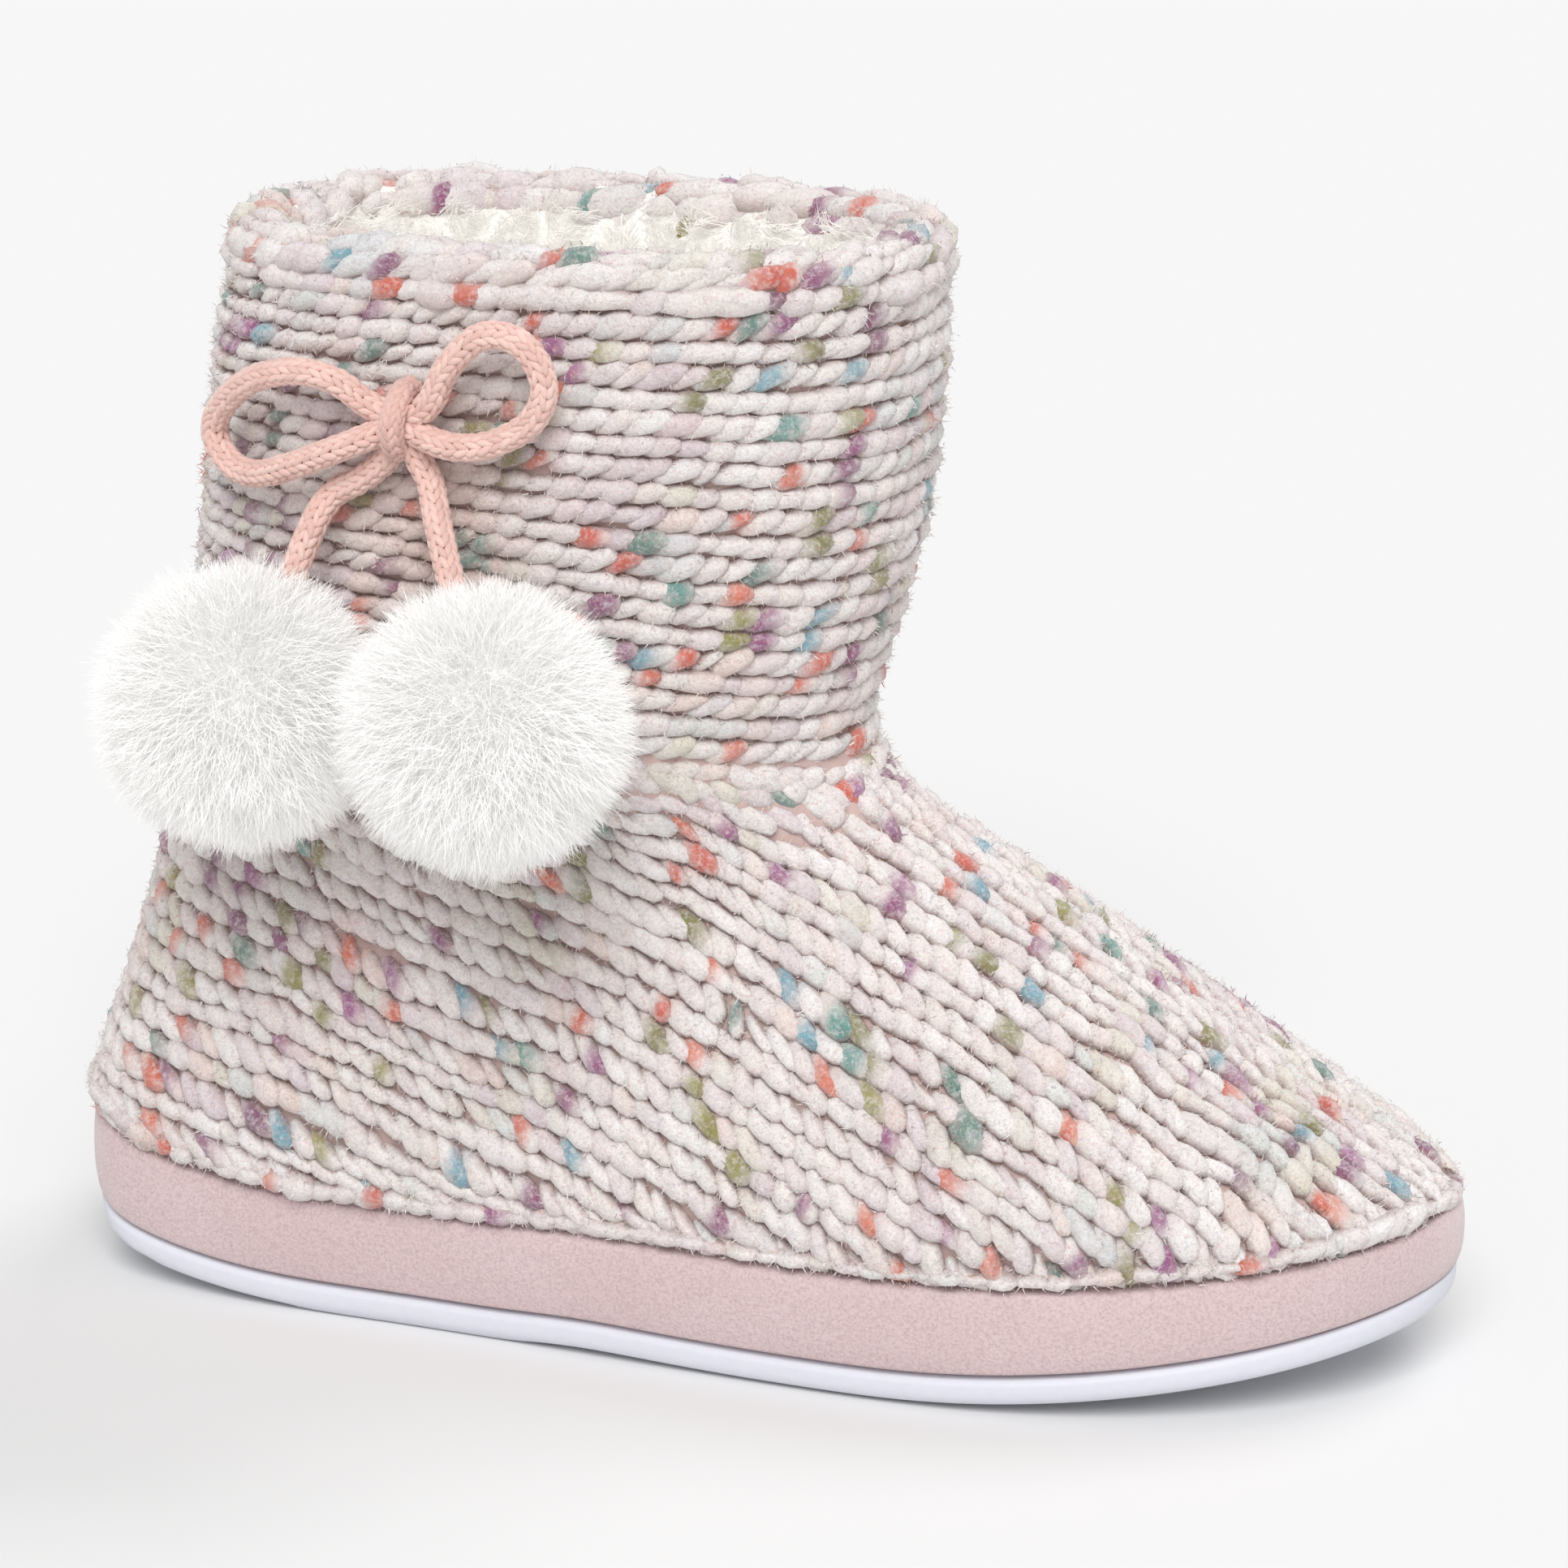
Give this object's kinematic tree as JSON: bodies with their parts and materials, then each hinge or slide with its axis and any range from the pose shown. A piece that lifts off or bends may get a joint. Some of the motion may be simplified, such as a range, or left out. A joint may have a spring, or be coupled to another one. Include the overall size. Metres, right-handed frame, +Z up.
{
  "type": "bootie slipper",
  "caption": "Ankle-high house slipper for the right foot: knitted upper with a fleece lining on a wrapped foam platform, with a cord bow and fur pompoms hanging at its outer side.",
  "frame": {"origin": "on the floor under the middle of the shoe's length and width", "axes": "+X toward the toe, +Y toward the inner side of the foot, +Z up"},
  "size_m": [0.253, 0.1402, 0.195],
  "materials": {
    "outsole": "matt pale foam rubber",
    "platform": "dusty pink suede cloth with a short nap",
    "lining": "white sherpa fleece",
    "knit": "brushed knit in off-white and pink with coloured flecks",
    "cord": "knitted dusty pink cord",
    "fur": "short white fur"
  },
  "bodies": {
    "root": {"outsole": "outsole", "platform": "platform", "insole": "lining", "upper": "knit", "bow_knot": "cord", "bow_loop_rear": "cord", "bow_loop_front": "cord", "bow_tail_rear": "cord", "bow_tail_front": "cord", "pompom_rear": "fur", "pompom_front": "fur"}
  },
  "joints": []
}
